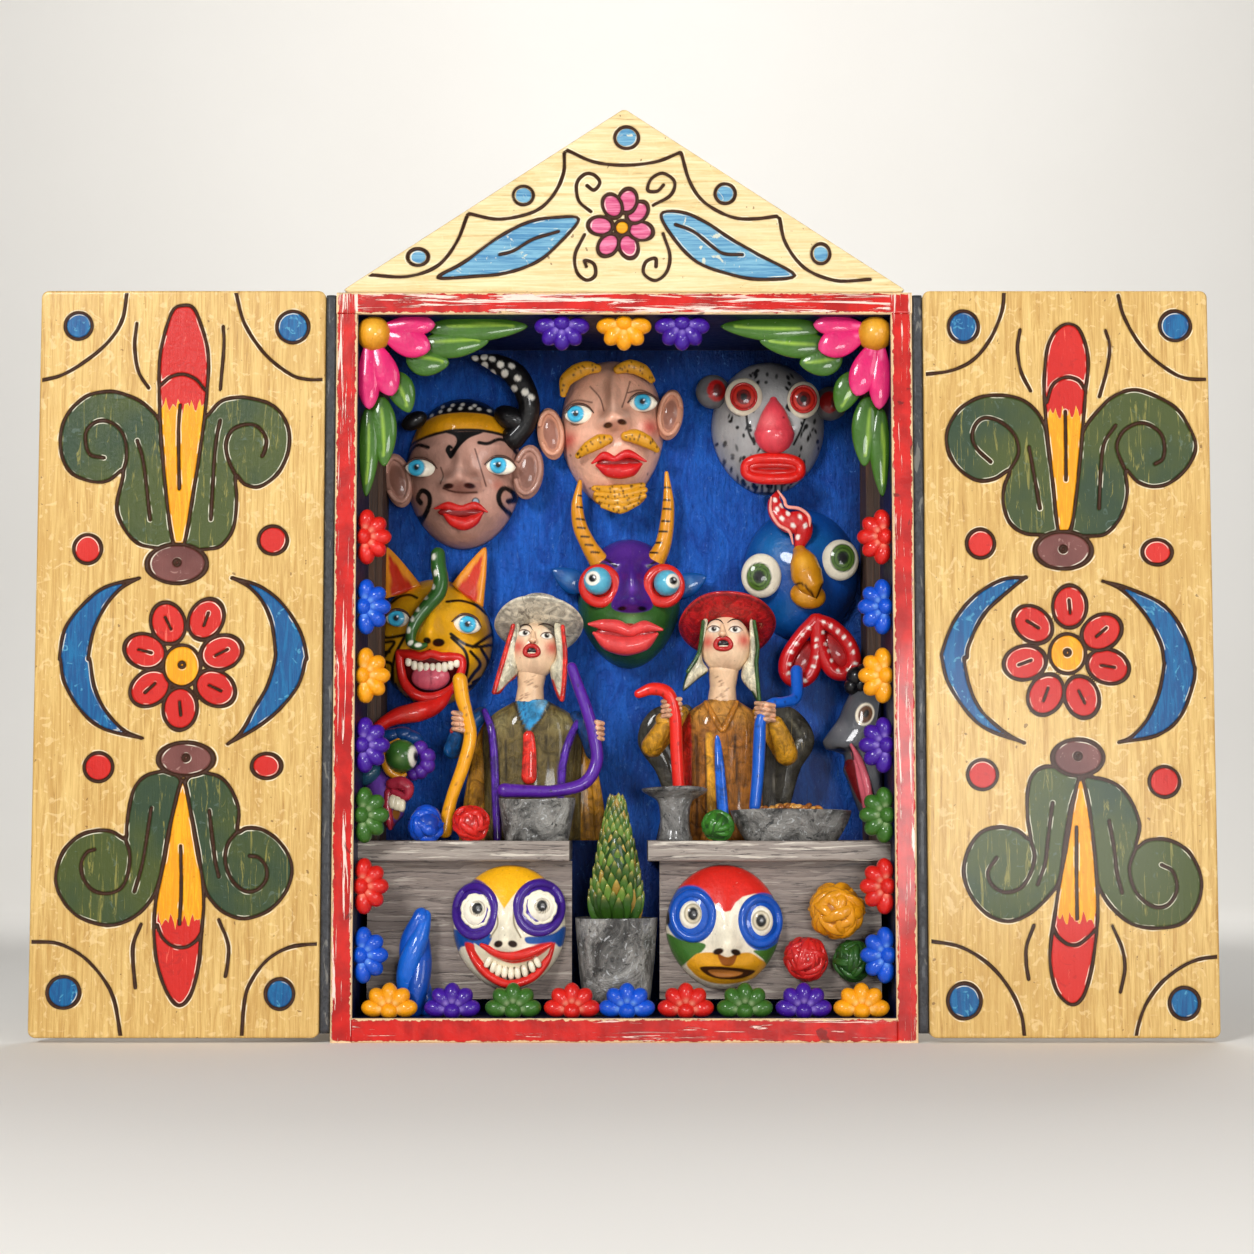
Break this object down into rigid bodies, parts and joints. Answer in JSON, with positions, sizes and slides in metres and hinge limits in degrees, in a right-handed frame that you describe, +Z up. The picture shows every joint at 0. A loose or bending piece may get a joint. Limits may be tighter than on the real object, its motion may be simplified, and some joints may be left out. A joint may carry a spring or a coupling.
{
  "type": "retablo box",
  "caption": "Gabled wooden altar box with two leather-hinged painted doors, standing open on a niche of paste masks, figures, flowers and wares.",
  "frame": {"origin": "middle of the bounding box at the surface that the case stands on", "axes": "+X to the viewer's right as the open front is looked at, +Y from the open front to the back, +Z up"},
  "size_m": [0.381, 0.067, 0.304],
  "materials": {
    "case_board": "worn glossy red paint over gesso on the edges, near-black blue inside, cream outside",
    "blue_board": "brushed satin blue paint inside, bare board behind",
    "cream_board": "cream paint with incised and painted flowers, varnished",
    "plain_wood": "bare dark wood",
    "table_wood": "grey-brown stained wood with open grain",
    "leather": "thin dark grey leather",
    "nail_steel": "small flush nail heads",
    "flower_paste": "moulded paste under glossy lacquer, several colours",
    "leaf_paste": "moulded paste under glossy lacquer, leaf green",
    "brown_paste": "moulded paste under glossy lacquer, browns",
    "pink_paste": "moulded paste under glossy lacquer, skin pink",
    "grey_paste": "moulded paste under satin lacquer, stone grey",
    "yellow_paste": "moulded paste under glossy lacquer, ochre yellow",
    "purple_paste": "moulded paste under glossy lacquer, purple",
    "blue_paste": "moulded paste under glossy lacquer, blue",
    "red_paste": "moulded paste under glossy lacquer, red",
    "cream_paste": "moulded paste under satin lacquer, off-white"
  },
  "bodies": {
    "case": {"side_panel_left": "case_board", "side_panel_right": "case_board", "top_panel": "case_board", "bottom_panel": "case_board", "back_panel": "blue_board", "pediment": "cream_board", "pediment_cleat": "plain_wood", "case_nails": "nail_steel", "side_battens": "plain_wood", "table_top_left": "table_wood", "table_top_right": "table_wood", "table_front_left": "table_wood", "table_front_right": "table_wood", "hinge_case_leaves": "leather", "flowers_bottom": "flower_paste", "flowers_left": "flower_paste", "flowers_right": "flower_paste", "flowers_top": "flower_paste", "corner_flower_left": "flower_paste", "corner_flower_right": "flower_paste", "corner_leaves_left": "leaf_paste", "corner_leaves_right": "leaf_paste", "mask_plumed": "brown_paste", "mask_moustache": "pink_paste", "mask_speckled": "grey_paste", "mask_striped_cat": "yellow_paste", "mask_horned": "purple_paste", "mask_parrot": "blue_paste", "spotted_heart": "red_paste", "mask_profile": "grey_paste", "red_chili": "red_paste", "mask_goggle": "purple_paste", "mask_purple_rings": "yellow_paste", "mask_blue_rings": "blue_paste", "figure_left_body": "brown_paste", "figure_right_body": "brown_paste", "figure_left_arms": "yellow_paste", "figure_right_arms": "yellow_paste", "figure_left_head": "pink_paste", "figure_right_head": "pink_paste", "figure_left_hat": "cream_paste", "figure_right_hat": "red_paste", "stone_bowl": "grey_paste", "pedestal_cup": "grey_paste", "food_dish": "grey_paste", "dish_food": "yellow_paste", "serpent_yellow": "yellow_paste", "serpent_purple": "purple_paste", "serpent_red": "red_paste", "serpent_blue": "blue_paste", "table_balls": "blue_paste", "plant_pot": "grey_paste", "cone_plant": "leaf_paste", "yarn_balls": "yellow_paste", "twisted_bundle": "blue_paste"},
    "door_left": {"door_left": "cream_board", "hinge_door_leaf_left": "leather"},
    "door_right": {"door_right": "cream_board", "hinge_door_leaf_right": "leather"}
  },
  "joints": [
    {"name": "door_left_hinge", "type": "hinge", "parent": "case", "child": "door_left", "pos_m": [-0.09575, -0.0327, 0.1225], "axis": [0, 0, 1], "range_deg": [-15, 180]},
    {"name": "door_right_hinge", "type": "hinge", "parent": "case", "child": "door_right", "pos_m": [0.09575, -0.0327, 0.1225], "axis": [0, 0, -1], "range_deg": [-15, 180]}
  ]
}
